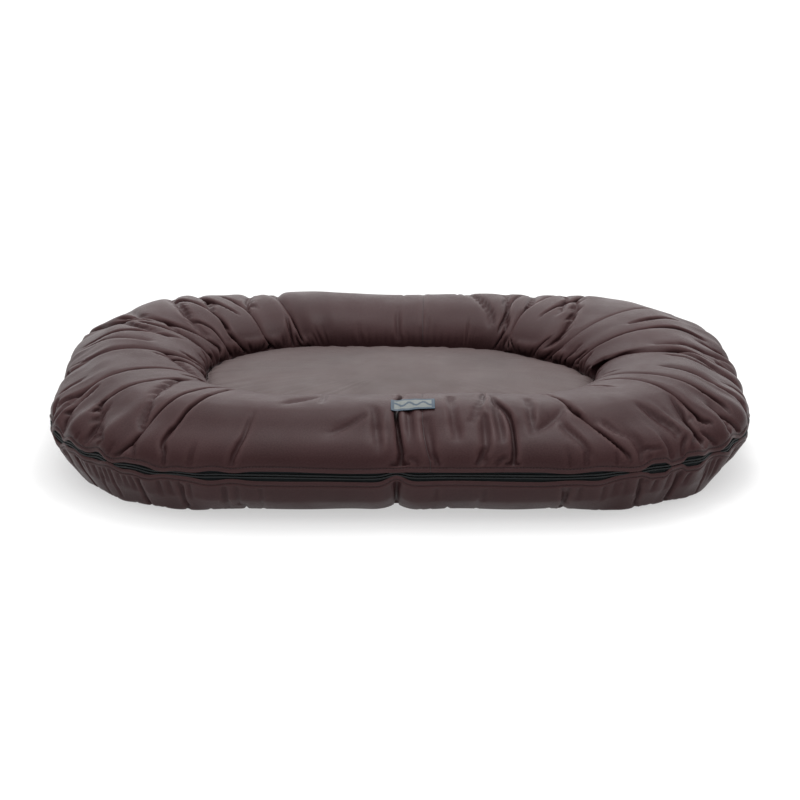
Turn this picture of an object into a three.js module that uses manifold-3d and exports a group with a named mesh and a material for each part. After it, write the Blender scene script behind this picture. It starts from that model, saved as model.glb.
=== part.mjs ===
// Pet cushion bed: a flat sleeping mat inside a soft bolster ring, in a removable fabric cover
// whose upper and lower halves are joined by a zip that runs round the outside.
//
// Millimetres, +Z up. The origin is on the floor under the middle of the bed, +X runs along its
// length and -Y is its front. Every ring in the bed follows the same plan: a rounded rectangle
// that is moved in from the outermost one by an inset. A cross-section is drawn as [inset, height]
// points, so 0 is the outermost edge at the zip and larger insets lie nearer to the middle.
import * as THREE from "three";
import { mergeVertices } from "three/addons/utils/BufferGeometryUtils.js";
import Module from "manifold-3d";

// Plan
const LENGTH = 1000; // X, over the zip
const WIDTH = 750; // Y, over the zip
const OUTER_CORNER_R = 250; // plan corner radius at the zip
const MAT_CORNER_R = 150; // plan corner radius of the sleeping mat
const CORNER_STEPS = 9; // facets in each plan corner

// Cross-section
const BOLSTER_W = 200; // from the zip to the edge of the mat
const BOLSTER_H = 145; // floor to the crest of the bolster
const MAT_TOP_Z = 92; // floor to the sleeping surface
const ZIP_Z = 63; // floor to the middle of the zip
const BASE_INSET = 65; // from the zip to where the lower cover meets the floor
const ARC_STEPS = 6; // facets in each quarter of the cross-section

// Fabric
const FABRIC = 0.6; // cover cloth
const HEM = 2 * FABRIC; // cloth folded double at the zip
const HEM_H = 12; // height of each folded hem
const SEAM_ALLOWANCE = 12; // cloth turned down inside the mat seam
const GAP = 0.3; // clearance between pieces that touch
const THREAD = 0.6; // sewing thread
const MERGE = 1e-4; // points nearer than this are one point
const PAST = 5; // how far a cutting block runs past what it cuts
const HEM_STITCH_IN = 6; // from a hem's edge to its row of stitches
const PANEL_SEAM_X = 40; // the two bolster panels meet here, at the front and at the rear
const PANEL_SEAM_THREAD = 0.8; // width of the overlocked thread in that seam

// Inner cushions
const CUSHION_EASE = 5; // slack between the cover and the cushions inside it
const LINER = 0.8; // liner cloth
const LINER_SLOT = [180, 8]; // filling slot in each liner: length, width
const SLOT_INSET = 150; // filling slot of the bolster's liner, from the zip

// Zip
const ZIP_GAP = 11; // black band that shows between the two hems
const TAPE = 0.7; // tape thickness
const TAPE_H = 14; // height of each tape
const TAPE_SLIT = 2; // between the two ends of each tape
const COIL_W = 2.4; // height of each coil
const COIL_T = 2.1; // thickness of each coil
const COIL_MEET = 1.5; // between the upper and lower coil, where the slider's neck runs
const ZIP_END_X = -200; // where the zip's two ends meet, at the rear
const BOTTOM_STOP = 3; // length of the bottom stop
const TOP_STOP = 4.6; // length of each top stop
const STOP_GAP = 1; // between the stops and the tab
const END_TAB = 11; // length of the cloth tab over the tape ends

// Slider and pull
const SLIDER_L = 11;
const SLIDER_W = 8.8;
const PLATE = 1; // thickness of the slider's plates
const FLANGE = 0.8;
const NECK_W = 0.7;
const NECK_L = 3;
const SLIDER_PLAY = 0.5; // between the slider and what it slides on
const BRIDGE_L = 7.6;
const BRIDGE_H = 3; // how far the bridge stands off the slider
const BRIDGE_W = 1.6;
const BRIDGE_T = 1;
const PULL_L = 28;
const PULL_W = 7;
const PULL_T = 1.2;
const PULL_TAPER = 1; // how much narrower the pull's tip is on each side
const PULL_PIN_R = 0.7;
const PULL_WINDOW = [5.3, 3]; // window that the bridge passes through: length, width

// Label
const LABEL_W = 58;
const LABEL_T = 0.8;
const LABEL_X = 17; // middle of the label, at the front
const LABEL_ARC = [-8, 18]; // degrees round the crest, from its mat side to its outer side

const HALF_L = LENGTH / 2;
const HALF_W = WIDTH / 2;
const TAPE_INSET = HEM + GAP; // outer face of the zip tape
const HEM_BOTTOM_Z = ZIP_Z - ZIP_GAP / 2 - HEM_H;
const HEM_TOP_Z = ZIP_Z + ZIP_GAP / 2 + HEM_H;
const CREST_INSET = BOLSTER_W / 2;
const LINER_INSET = FABRIC + CUSHION_EASE;
const FILL_INSET = LINER_INSET + LINER + GAP;
const RADIANS = Math.PI / 180;

const wasm = await Module();
wasm.setup();

const bed = new THREE.Group();

// ---------- materials ----------

const material = (color, roughness, metalness = 0) =>
  new THREE.MeshStandardMaterial({ color, roughness, metalness });

const coverCloth = material(0x5f4d4c, 0.5);
const matCloth = material(0x776a69, 0.6);
const coverThread = material(0x3d2d2e, 0.7);
const zipCloth = material(0x14181a, 0.75);
const zipCoil = material(0x0d1011, 0.45);
const zipMetal = material(0x55585a, 0.35, 0.9);
const linerCloth = material(0xe9e6df, 0.9);
const fibre = material(0xf4f3ef, 1.0);
const labelCloth = material(0x2f5f7d, 0.7);

// ---------- solids ----------

function toSolid(geometry) {
  const bare = geometry.clone();
  bare.deleteAttribute("normal");
  bare.deleteAttribute("uv");
  const merged = mergeVertices(bare, MERGE);
  return new wasm.Manifold(
    new wasm.Mesh({
      numProp: 3,
      vertProperties: merged.attributes.position.array,
      triVerts: new Uint32Array(merged.index.array),
    }),
  );
}

function toGeometry(solid) {
  const { vertProperties, numProp, triVerts } = solid.getMesh();
  const positions = new Float32Array((vertProperties.length / numProp) * 3);
  for (let i = 0; i < positions.length / 3; i++)
    positions.set(vertProperties.subarray(i * numProp, i * numProp + 3), i * 3);
  const geometry = new THREE.BufferGeometry();
  geometry.setAttribute("position", new THREE.BufferAttribute(positions, 3));
  geometry.setIndex(new THREE.BufferAttribute(triVerts, 1));
  geometry.computeVertexNormals();
  return geometry;
}

function add(name, solid, look) {
  const mesh = new THREE.Mesh(toGeometry(solid), look);
  mesh.name = name;
  bed.add(mesh);
  return mesh;
}

// A box between two corners, as a solid.
function block([x0, y0, z0], [x1, y1, z1]) {
  const geometry = new THREE.BoxGeometry(x1 - x0, y1 - y0, z1 - z0);
  geometry.translate((x0 + x1) / 2, (y0 + y1) / 2, (z0 + z1) / 2);
  return toSolid(geometry);
}

// Plan corner radius at an inset: it runs evenly from the zip's radius to the mat's.
const cornerRadius = (inset) =>
  OUTER_CORNER_R + ((MAT_CORNER_R - OUTER_CORNER_R) * inset) / BOLSTER_W;

// Sweeps a closed [inset, height] section round the plan. It is a lathe of the section whose four
// quarters are moved apart, so that straight sides form between them. An inset of half the width
// or more is the middle of the bed, where a disc closes.
function roundPlan(section) {
  const profile = section.map(
    ([inset, z]) => new THREE.Vector2(Math.max(0, HALF_W - inset), z),
  );
  const columns = 4 * (CORNER_STEPS + 1);
  const lathe = new THREE.LatheGeometry(profile, columns);
  const at = lathe.attributes.position;
  for (let column = 0; column <= columns; column++) {
    const place = column % columns;
    const quarter = Math.floor(place / (CORNER_STEPS + 1));
    const step = place % (CORNER_STEPS + 1);
    const angle = (quarter + step / CORNER_STEPS) * (Math.PI / 2);
    const sideX = quarter === 0 || quarter === 3 ? 1 : -1;
    const sideY = quarter < 2 ? 1 : -1;
    profile.forEach((point, row) => {
      const inset = HALF_W - point.x;
      const r = cornerRadius(inset);
      const middle = point.x === 0;
      const x = sideX * (HALF_L - inset - r) + r * Math.cos(angle);
      const y = sideY * (HALF_W - inset - r) + r * Math.sin(angle);
      at.setXYZ(
        column * profile.length + row,
        middle ? 0 : x,
        middle ? 0 : y,
        point.y,
      );
    });
  }
  const solid = toSolid(lathe);
  return solid.volume() < 0 ? toSolid(flipped(lathe)) : solid;
}

function flipped(geometry) {
  const turned = geometry.clone();
  const index = turned.index.array;
  for (let i = 0; i < index.length; i += 3)
    [index[i + 1], index[i + 2]] = [index[i + 2], index[i + 1]];
  return turned;
}

// A closed loop repeats its first point, so that the lathe's surface meets itself.
const ring = (section) => roundPlan([...section, section[0]]);

// ---------- cross-sections ----------

// Points on a quarter of an ellipse, from one angle to another in degrees.
function arc([inset, z], [halfW, halfH], from, to, steps = ARC_STEPS) {
  return Array.from({ length: steps + 1 }, (_, i) => {
    const angle = (from + ((to - from) * i) / steps) * RADIANS;
    return [inset - halfW * Math.cos(angle), z + halfH * Math.sin(angle)];
  });
}

// The lower cover, from its floor edge up to the hem, moved in by an inset.
const lowerCurve = (inset) =>
  arc(
    [BASE_INSET, HEM_BOTTOM_Z],
    [BASE_INSET - inset, HEM_BOTTOM_Z - inset],
    -90,
    0,
  );

// The bolster, from its hem over the crest and down to the mat, moved in by an inset.
const upperCurve = (inset) => [
  ...arc(
    [CREST_INSET, HEM_TOP_Z],
    [CREST_INSET - inset, BOLSTER_H - HEM_TOP_Z - inset],
    0,
    90,
  ),
  ...arc(
    [CREST_INSET, MAT_TOP_Z],
    [CREST_INSET - inset, BOLSTER_H - MAT_TOP_Z - inset],
    90,
    180,
  ).slice(1),
];

// The outline of the bolster's cushion, moved in from the cover by an inset.
const cushionSection = (inset) => [
  ...lowerCurve(inset),
  ...upperCurve(inset),
  [BOLSTER_W - inset, inset],
];

// ---------- cover ----------

function addBaseCover() {
  const hemEdge = ZIP_Z - ZIP_GAP / 2;
  const section = [
    [HALF_W, 0],
    ...lowerCurve(0),
    [0, hemEdge],
    [HEM, hemEdge],
    [HEM, HEM_BOTTOM_Z],
    ...lowerCurve(FABRIC).reverse(),
    [HALF_W, FABRIC],
  ];
  add("base_cover", roundPlan(section), coverCloth);
}

// The ring of cloth over the bolster, hem and mat-seam allowance included.
function bolsterSkin() {
  const hemEdge = ZIP_Z + ZIP_GAP / 2;
  return ring([
    [0, hemEdge],
    ...upperCurve(0),
    [BOLSTER_W, MAT_TOP_Z - SEAM_ALLOWANCE],
    [BOLSTER_W - FABRIC, MAT_TOP_Z - SEAM_ALLOWANCE],
    ...upperCurve(FABRIC).reverse(),
    [HEM, HEM_TOP_Z],
    [HEM, hemEdge],
  ]);
}

function addBolsterCover() {
  const skin = bolsterSkin();
  const edge = PANEL_SEAM_THREAD / 2 + GAP;
  const [x, y, z] = [LENGTH, WIDTH, BOLSTER_H + PAST];
  const left = block([-x, -y, 0], [PANEL_SEAM_X - edge, y, z]);
  const right = block([PANEL_SEAM_X + edge, -y, 0], [x, y, z]);
  add("bolster_cover_left", skin.intersect(left), coverCloth);
  add("bolster_cover_right", skin.intersect(right), coverCloth);
  const [x0, x1] = [edge - GAP, GAP - edge].map((off) => PANEL_SEAM_X - off);
  const front = block([x0, -y, 0], [x1, 0, z]);
  const rear = block([x0, 0, 0], [x1, y, z]);
  add("front_panel_seam", skin.intersect(front), coverThread);
  add("rear_panel_seam", skin.intersect(rear), coverThread);
}

function addMatPanel() {
  const edge = BOLSTER_W + GAP;
  const section = [
    [HALF_W, MAT_TOP_Z],
    [edge, MAT_TOP_Z],
    [edge, MAT_TOP_Z - SEAM_ALLOWANCE],
    [edge + FABRIC, MAT_TOP_Z - SEAM_ALLOWANCE],
    [edge + FABRIC, MAT_TOP_Z - FABRIC],
    [HALF_W, MAT_TOP_Z - FABRIC],
  ];
  add("mat_panel", roundPlan(section), matCloth);
}

// A ring of thread with a square section, from its outer lower corner.
const threadRing = (inset, z) =>
  ring([
    [inset, z],
    [inset, z + THREAD],
    [inset + THREAD, z + THREAD],
    [inset + THREAD, z],
  ]);

function addStitching() {
  const outside = -GAP - THREAD;
  const stitch = ZIP_GAP / 2 + HEM_STITCH_IN;
  const inside = BOLSTER_W + 2 * GAP + FABRIC;
  add("upper_hem_thread", threadRing(outside, ZIP_Z + stitch), coverThread);
  add(
    "lower_hem_thread",
    threadRing(outside, ZIP_Z - stitch - THREAD),
    coverThread,
  );
  add(
    "mat_seam_thread",
    threadRing(inside, MAT_TOP_Z - SEAM_ALLOWANCE / 2),
    coverThread,
  );
}

function addLabel() {
  const onCrest = (inset, from, to) =>
    arc(
      [CREST_INSET, HEM_TOP_Z],
      [CREST_INSET - inset, BOLSTER_H - HEM_TOP_Z - inset],
      from,
      to,
    );
  const [matSide, outerSide] = LABEL_ARC.map((degrees) => 90 - degrees);
  const section = [
    ...onCrest(-GAP, outerSide, matSide),
    ...onCrest(-GAP - LABEL_T, matSide, outerSide),
  ];
  const cut = block(
    [LABEL_X - LABEL_W / 2, -WIDTH, 0],
    [LABEL_X + LABEL_W / 2, 0, BOLSTER_H + PAST],
  );
  add("label", ring(section).intersect(cut), labelCloth);
}

// ---------- cushions ----------

// A liner is a bag: cloth between two outlines, with a slot that the fibre was put in through.
function addBolsterCushion() {
  const bag = ring(cushionSection(LINER_INSET)).subtract(
    ring(cushionSection(LINER_INSET + LINER)),
  );
  const slotY = HALF_W - SLOT_INSET;
  const [slotL, slotW] = LINER_SLOT;
  const slot = block(
    [-slotL / 2, slotY - slotW / 2, LINER_INSET - PAST],
    [slotL / 2, slotY + slotW / 2, LINER_INSET + LINER + PAST],
  );
  add("bolster_liner", bag.subtract(slot), linerCloth);
  add("bolster_fill", ring(cushionSection(FILL_INSET)), fibre);
}

function matBlock(inset, top, bottom) {
  return roundPlan([
    [HALF_W, top],
    [inset, top],
    [inset, bottom],
    [HALF_W, bottom],
  ]);
}

function addMatCushion() {
  const inset = BOLSTER_W + CUSHION_EASE;
  const top = MAT_TOP_Z - FABRIC - GAP;
  const bottom = LINER_INSET;
  const hollow = matBlock(inset + LINER, top - LINER, bottom + LINER);
  const [slotL, slotW] = LINER_SLOT;
  const slot = block(
    [-slotL / 2, -slotW / 2, bottom - PAST],
    [slotL / 2, slotW / 2, bottom + LINER + PAST],
  );
  const bag = matBlock(inset, top, bottom).subtract(hollow).subtract(slot);
  add("mat_liner", bag, linerCloth);
  const skin = LINER + GAP;
  add("mat_fill", matBlock(inset + skin, top - skin, bottom + skin), fibre);
}

// ---------- zip ----------

// A box at the rear of the bed, given by its X, inset and height ranges.
const atRear = ([x0, x1], [in0, in1], [z0, z1]) =>
  block([x0, HALF_W - in1, ZIP_Z + z0], [x1, HALF_W - in0, ZIP_Z + z1]);

const band = (in0, in1, z0, z1) =>
  ring([
    [in0, ZIP_Z + z0],
    [in0, ZIP_Z + z1],
    [in1, ZIP_Z + z1],
    [in1, ZIP_Z + z0],
  ]);

const COIL_OUT = HEM - COIL_T; // outer face of the coils
const TAB_X = ZIP_END_X - (2 * END_TAB) / 3;
const BOTTOM_STOP_X = TAB_X - STOP_GAP - BOTTOM_STOP;
const TOP_STOPS_X = TAB_X + END_TAB + STOP_GAP;
const COIL_START_X = TOP_STOPS_X + TOP_STOP + GAP;

function addZipTapes() {
  const slit = atRear(
    [ZIP_END_X - TAPE_SLIT / 2, ZIP_END_X + TAPE_SLIT / 2],
    [TAPE_INSET - GAP, TAPE_INSET + TAPE + PAST],
    [-TAPE_H - PAST, TAPE_H + PAST],
  );
  const near = NECK_W / 2 + GAP;
  const upper = band(TAPE_INSET, TAPE_INSET + TAPE, near, near + TAPE_H);
  const lower = band(TAPE_INSET, TAPE_INSET + TAPE, -near - TAPE_H, -near);
  add("upper_zip_tape", upper.subtract(slit), zipCloth);
  add("lower_zip_tape", lower.subtract(slit), zipCloth);
}

function addZipCoils() {
  const ends = atRear(
    [BOTTOM_STOP_X - GAP, COIL_START_X],
    [COIL_OUT - PAST, HEM + PAST],
    [-COIL_W - PAST, COIL_W + PAST],
  );
  const near = COIL_MEET / 2;
  const upper = band(COIL_OUT, HEM, near, near + COIL_W);
  const lower = band(COIL_OUT, HEM, -near - COIL_W, -near);
  add("upper_zip_coil", upper.subtract(ends), zipCoil);
  add("lower_zip_coil", lower.subtract(ends), zipCoil);
}

function addZipEnds() {
  const half = COIL_MEET / 2;
  const reach = half + COIL_W;
  const depth = [COIL_OUT, HEM];
  const stopX = [TOP_STOPS_X, TOP_STOPS_X + TOP_STOP];
  add("zip_top_stop_upper", atRear(stopX, depth, [half, reach]), zipMetal);
  add("zip_top_stop_lower", atRear(stopX, depth, [-reach, -half]), zipMetal);
  add(
    "zip_bottom_stop",
    atRear([BOTTOM_STOP_X, BOTTOM_STOP_X + BOTTOM_STOP], depth, [-reach, reach]),
    zipMetal,
  );
  const show = ZIP_GAP / 2 - GAP;
  const tab = atRear([TAB_X, TAB_X + END_TAB], depth, [-show, show]);
  add("zip_end_tab", tab, coverCloth);
}

const SLIDER_X = COIL_START_X + SLIDER_L / 2;
const PLATE_OUT = COIL_OUT - SLIDER_PLAY; // inner face of the slider's outer plate
const BACK_IN = TAPE_INSET + TAPE + SLIDER_PLAY; // inner plate, behind the tapes
const BRIDGE_FOOT = PLATE_OUT - PLATE;
const PIN_INSET = BRIDGE_FOOT - (BRIDGE_H - BRIDGE_T) / 2;

function addSlider() {
  const alongX = [SLIDER_X - SLIDER_L / 2, SLIDER_X + SLIDER_L / 2];
  const half = SLIDER_W / 2;
  const outer = atRear(alongX, [BRIDGE_FOOT, PLATE_OUT], [-half, half]);
  const inner = atRear(alongX, [BACK_IN, BACK_IN + PLATE], [-half, half]);
  const flangeDepth = [PLATE_OUT, TAPE_INSET - SLIDER_PLAY];
  const upperFlange = atRear(alongX, flangeDepth, [half - FLANGE, half]);
  const lowerFlange = atRear(alongX, flangeDepth, [-half, FLANGE - half]);
  const neck = atRear(
    [SLIDER_X - NECK_L / 2, SLIDER_X + NECK_L / 2],
    [PLATE_OUT, BACK_IN],
    [-NECK_W / 2, NECK_W / 2],
  );
  const bridgeOut = BRIDGE_FOOT - BRIDGE_H;
  const halfL = BRIDGE_L / 2;
  const wide = [-BRIDGE_W / 2, BRIDGE_W / 2];
  const arch = atRear(
    [SLIDER_X - halfL, SLIDER_X + halfL],
    [bridgeOut, BRIDGE_FOOT],
    wide,
  ).subtract(
    atRear(
      [SLIDER_X - halfL + BRIDGE_T, SLIDER_X + halfL - BRIDGE_T],
      [bridgeOut + BRIDGE_T, BRIDGE_FOOT + PAST],
      wide,
    ),
  );
  const body = [inner, upperFlange, lowerFlange, neck, arch].reduce(
    (all, piece) => all.add(piece),
    outer,
  );
  add("zip_slider", body, zipMetal);
}

// The pull lies flat along +X. Its near end is the pin under the bridge that it swings on.
function addPull() {
  const [windowL, windowW] = PULL_WINDOW;
  const shape = new THREE.Shape();
  const half = PULL_W / 2;
  const tipR = half - PULL_TAPER;
  shape.moveTo(-PULL_PIN_R, -half);
  shape.lineTo(PULL_L - tipR, -tipR);
  shape.absarc(PULL_L - tipR, 0, tipR, -Math.PI / 2, Math.PI / 2, false);
  shape.lineTo(-PULL_PIN_R, half);
  shape.closePath();
  const opening = new THREE.Path();
  opening.moveTo(PULL_PIN_R, -windowW / 2);
  opening.lineTo(PULL_PIN_R, windowW / 2);
  opening.lineTo(PULL_PIN_R + windowL, windowW / 2);
  opening.lineTo(PULL_PIN_R + windowL, -windowW / 2);
  opening.closePath();
  shape.holes.push(opening);
  const plate = new THREE.ExtrudeGeometry(shape, {
    depth: PULL_T,
    bevelEnabled: false,
    curveSegments: 8,
  });
  plate.translate(0, 0, -PULL_T / 2);
  plate.rotateX(Math.PI / 2);
  plate.translate(SLIDER_X, HALF_W - PIN_INSET, ZIP_Z);
  add("zip_pull", toSolid(plate), zipMetal);
}

addBaseCover();
addBolsterCover();
addMatPanel();
addStitching();
addLabel();
addBolsterCushion();
addMatCushion();
addZipTapes();
addZipCoils();
addZipEnds();
addSlider();
addPull();

export default bed;
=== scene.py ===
"""A pet cushion bed: a stuffed bolster ring round a sleeping mat, in a cover with a zip round it.

Everything is in metres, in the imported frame: +X along the bed, +Z up, -Y towards its front.
A place on the bed is given by how far round it is and how far in it is. Round is counted from
the middle of the front towards +X, and in is counted from the zip towards the mat.
"""

import math

import bpy
import numpy as np
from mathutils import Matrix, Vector
from mathutils.bvhtree import BVHTree


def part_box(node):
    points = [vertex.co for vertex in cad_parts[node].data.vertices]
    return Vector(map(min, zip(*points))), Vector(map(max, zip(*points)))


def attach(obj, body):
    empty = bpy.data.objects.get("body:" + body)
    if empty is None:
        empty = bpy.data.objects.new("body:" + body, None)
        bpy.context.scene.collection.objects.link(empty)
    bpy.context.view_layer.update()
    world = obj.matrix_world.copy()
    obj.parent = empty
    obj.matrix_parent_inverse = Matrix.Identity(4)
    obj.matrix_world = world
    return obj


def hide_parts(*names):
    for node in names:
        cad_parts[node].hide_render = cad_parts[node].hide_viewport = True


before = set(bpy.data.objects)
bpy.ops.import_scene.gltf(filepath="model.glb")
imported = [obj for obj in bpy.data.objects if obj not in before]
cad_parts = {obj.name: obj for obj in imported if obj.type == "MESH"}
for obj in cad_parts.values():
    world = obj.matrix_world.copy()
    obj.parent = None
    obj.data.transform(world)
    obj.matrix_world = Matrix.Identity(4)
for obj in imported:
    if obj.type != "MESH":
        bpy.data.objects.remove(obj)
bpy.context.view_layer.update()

MM = 0.001
CM = 0.01

# ---------- sizes, from the frame ----------

_, base_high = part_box("base_cover")
_, mat_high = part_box("mat_panel")
skin_low, skin_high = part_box("bolster_cover_left")
_, tape_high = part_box("upper_zip_tape")
_, coil_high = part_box("upper_zip_coil")
thread_low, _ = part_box("upper_hem_thread")
seam_low, seam_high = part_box("front_panel_seam")
label_low, label_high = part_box("label")
tab_low, tab_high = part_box("zip_end_tab")

HALF_L = base_high.x  # to the zip
HALF_W = base_high.y
MAT_HALF_L = mat_high.x
MAT_HALF_W = mat_high.y
MAT_TOP = mat_high.z
CREST = skin_high.z
UPPER_EDGE = skin_low.z  # lower edge of the upper hem
LOWER_EDGE = base_high.z  # upper edge of the lower hem
ZIP_Z = (UPPER_EDGE + LOWER_EDGE) / 2
HALF_BAND = (UPPER_EDGE - LOWER_EDGE) / 2
STITCH_IN = thread_low.z - UPPER_EDGE  # from a hem's edge to its stitches
SEAM_X = (seam_low.x + seam_high.x) / 2
TAPE_INSET = HALF_L - tape_high.x
TAPE_TOP = tape_high.z - ZIP_Z
COIL_OUT = HALF_L - coil_high.x
COIL_TOP = coil_high.z - ZIP_Z
ZIP_END_X = (tab_low.x + tab_high.x) / 2

OUTER_R = 250 * MM  # plan corner radius at the zip
MAT_R = 150 * MM  # plan corner radius of the mat
MAT_SHORTER = 9 * MM  # how far the mat's stuffed ends stop short of its CAD stand-in's
HEM_H = 9 * MM  # from a hem's edge to where the cover leaves it
FLOOR_INSET = 66 * MM  # from the zip to where the lower cover meets the floor
FLOOR_GAP = 0.3 * MM  # lowest height of the lower cover's side
SKIN_WIDE = 280 * MM  # the upper cover's cloth from its hem to the mat
SEAM_DEEP = 9 * MM  # from the mat's height down to the edges sewn to it


# ---------- plan ----------


class Plan:
    """A rounded rectangle, walked from the middle of its front."""

    def __init__(self, half_l, half_w, radius):
        self.radius = radius
        self.along = half_l - radius
        self.across = half_w - radius
        self.arc = radius * math.pi / 2
        self.quarter = self.along + self.arc + self.across
        self.length = 4 * self.quarter

    def at(self, u, quadrant):
        """Points and outward normals, u along a quadrant from the middle of its long side."""
        angle = np.clip((u - self.along) / self.radius, 0, math.pi / 2)
        past = np.clip(u - self.along - self.arc, 0, None)
        x = np.minimum(u, self.along) + self.radius * np.sin(angle)
        y = past - self.across - self.radius * np.cos(angle)
        flip = np.array([[1, 1], [1, -1], [-1, -1], [-1, 1]])[quadrant]
        normals = np.stack([np.sin(angle), -np.cos(angle)], -1)
        return np.stack([x, y], -1) * flip, normals * flip

    def fold(self, s):
        """The place within a quadrant, and the quadrant, of a distance round the plan."""
        s = np.mod(s, self.length)
        quadrant = np.minimum((s / self.quarter).astype(int), 3)
        u = s - quadrant * self.quarter
        return np.where(quadrant % 2 == 1, self.quarter - u, u), quadrant


outer_plan = Plan(HALF_L, HALF_W, OUTER_R)
mat_plan = Plan(MAT_HALF_L - MAT_SHORTER, MAT_HALF_W, MAT_R)
ROUND = outer_plan.length


def rise_step(x, low, high):
    t = np.clip((x - low) / (high - low), 0, 1)
    return t * t * (3 - 2 * t)


def bump(x, centre, width):
    return np.exp(-(((x - centre) / width) ** 2))


def signed(s):
    """Distance round from the front's middle, negative towards the left."""
    return (s + ROUND / 2) % ROUND - ROUND / 2


def wander(s, wavelength, seed):
    """A smooth random wave round the bed, mostly within -1 to 1."""
    random = np.random.default_rng(seed)
    centre = max(2, round(ROUND / wavelength))
    value = np.zeros_like(s)
    for turns in range(max(1, centre // 2), 2 * centre):
        weight = math.exp(-(((turns - centre) / (0.45 * centre)) ** 2))
        phase = random.uniform(0, 2 * math.pi)
        size = random.uniform(0.5, 1)
        value += weight * size * np.sin(2 * math.pi * turns * s / ROUND + phase)
    return value / (value.std() * 2 + 1e-9)


def corner_share(s, early=60 * MM):
    """0 on the long sides' middles, rising to 1 round the corners and on the short sides."""
    u, _ = outer_plan.fold(s)
    return rise_step(u, outer_plan.along - early, outer_plan.along + 70 * MM)


def calm_share(s):
    """0 along the straight rear, where the zip's slider runs, and 1 elsewhere."""
    u, quadrant = outer_plan.fold(s)
    rear = (quadrant == 1) | (quadrant == 2)
    return np.where(rear, rise_step(u, outer_plan.along, outer_plan.along + 60 * MM), 1)


PINCH_AT = -5 * MM  # the front's gathered point
CORNER_MIDDLE = outer_plan.along + outer_plan.arc / 2
CORNER_OUT = np.array([-22.0, 17.0, 21.0, -22.0])  # mm, from the front right round to the front left


def hem_shift(s):
    """How the zip and its hems leave their level plan: outwards and upwards."""
    corner = corner_share(s)
    u, quadrant = outer_plan.fold(s)
    out = 3.4 * corner * wander(s, 74 * MM, 3) + 0.7 * wander(s, 160 * MM, 4)
    up = 1.8 * corner * wander(s, 88 * MM, 5) + 1.0 * wander(s, 280 * MM, 6)
    pinch = bump(signed(s), PINCH_AT, 15 * MM)
    out = out - 3.0 * pinch + CORNER_OUT[quadrant] * bump(u, CORNER_MIDDLE, 190 * MM)
    out = out - 5.0 * bump(signed(s), 0, 240 * MM)
    up = up + 4.0 * pinch + 1.5 * corner * (quadrant % 3 == 0)
    return out * calm_share(s) * MM, up * calm_share(s) * MM


def hem_open(s):
    """How far the hems stand apart, as a share: pleats close over the zip at the corners."""
    pleats = 0.6 - 0.95 * wander(s, 66 * MM, 9)
    corner = corner_share(s, 90 * MM)
    share = (1.08 + 0.12 * wander(s, 210 * MM, 10)) * (1 - corner) + corner * pleats
    share = share - 0.95 * bump(signed(s), PINCH_AT, 13 * MM)
    share = np.clip(share, 0.05, 1.2)
    return 1 + (share - 1) * calm_share(s)


def zip_ring(s, inset=0.0, z=0.0, edge=0):
    """A ring that follows the zip. edge is 1 or -1 for a ring sewn to the upper or lower hem."""
    u, quadrant = outer_plan.fold(s)
    points, normals = outer_plan.at(u, quadrant)
    out, up = hem_shift(s)
    up = up + edge * HALF_BAND * hem_open(s)
    plan = points + normals * (out - inset)[..., None]
    return np.concatenate([plan, (ZIP_Z + z + up)[..., None]], -1)


def seam_place(u):
    """Where a line that leaves the zip at u meets the mat, along the mat's quadrant."""
    straight = 105 * MM
    kept = 0.92 * straight
    share = (mat_plan.quarter - kept) / (outer_plan.quarter - straight)
    return np.where(u < straight, 0.92 * u, kept + share * (u - straight))


MAT_CORNER_IN = 7 * MM  # how far the mat's corners are drawn in from its plan
MAT_REAR_RIGHT_IN = 44 * MM
MAT_REAR_OUT = 3 * MM


def mat_ring(s, z):
    """The sewn edge of the mat, level with a height."""
    u, quadrant = outer_plan.fold(s)
    at = seam_place(u)
    points, normals = mat_plan.at(at, quadrant)
    middle = mat_plan.along + mat_plan.arc / 2
    corner = bump(at, middle, 130 * MM)
    inward = corner * np.where(quadrant == 1, MAT_REAR_RIGHT_IN, MAT_CORNER_IN)
    inward = inward - MAT_REAR_OUT * (quadrant % 3 > 0)
    inward = inward + 1.2 * MM * wander(s, 90 * MM, 13)
    plan = points - normals * inward[..., None]
    return np.concatenate([plan, np.full(s.shape + (1,), z)], -1)


# ---------- cloth ----------


def grid_normals(x):
    along = np.roll(x, -1, axis=1) - np.roll(x, 1, axis=1)
    across = np.empty_like(x)
    across[1:-1] = x[2:] - x[:-2]
    across[0] = x[1] - x[0]
    across[-1] = x[-1] - x[-2]
    normal = np.cross(along, across)
    return normal / (np.linalg.norm(normal, axis=2)[..., None] + 1e-12)


def cubic(x, place, axis, closed):
    """Values between the points of a grid, on a smooth curve along one of its axes."""
    count = x.shape[axis]
    whole = np.floor(place).astype(int)
    t = (place - whole).astype(np.float32)
    taps = []
    for offset in (-1, 0, 1, 2):
        index = whole + offset
        index = index % count if closed else np.clip(index, 0, count - 1)
        taps.append(np.take(x, index, axis=axis))
    shape = [1, 1, 1]
    shape[axis] = len(place)
    t = t.reshape(shape)
    a, b, c, d = taps
    bend = 2 * a - 5 * b + 4 * c - d + t * (3 * (b - c) + d - a)
    return b + 0.5 * t * (c - a + t * bend)


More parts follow.
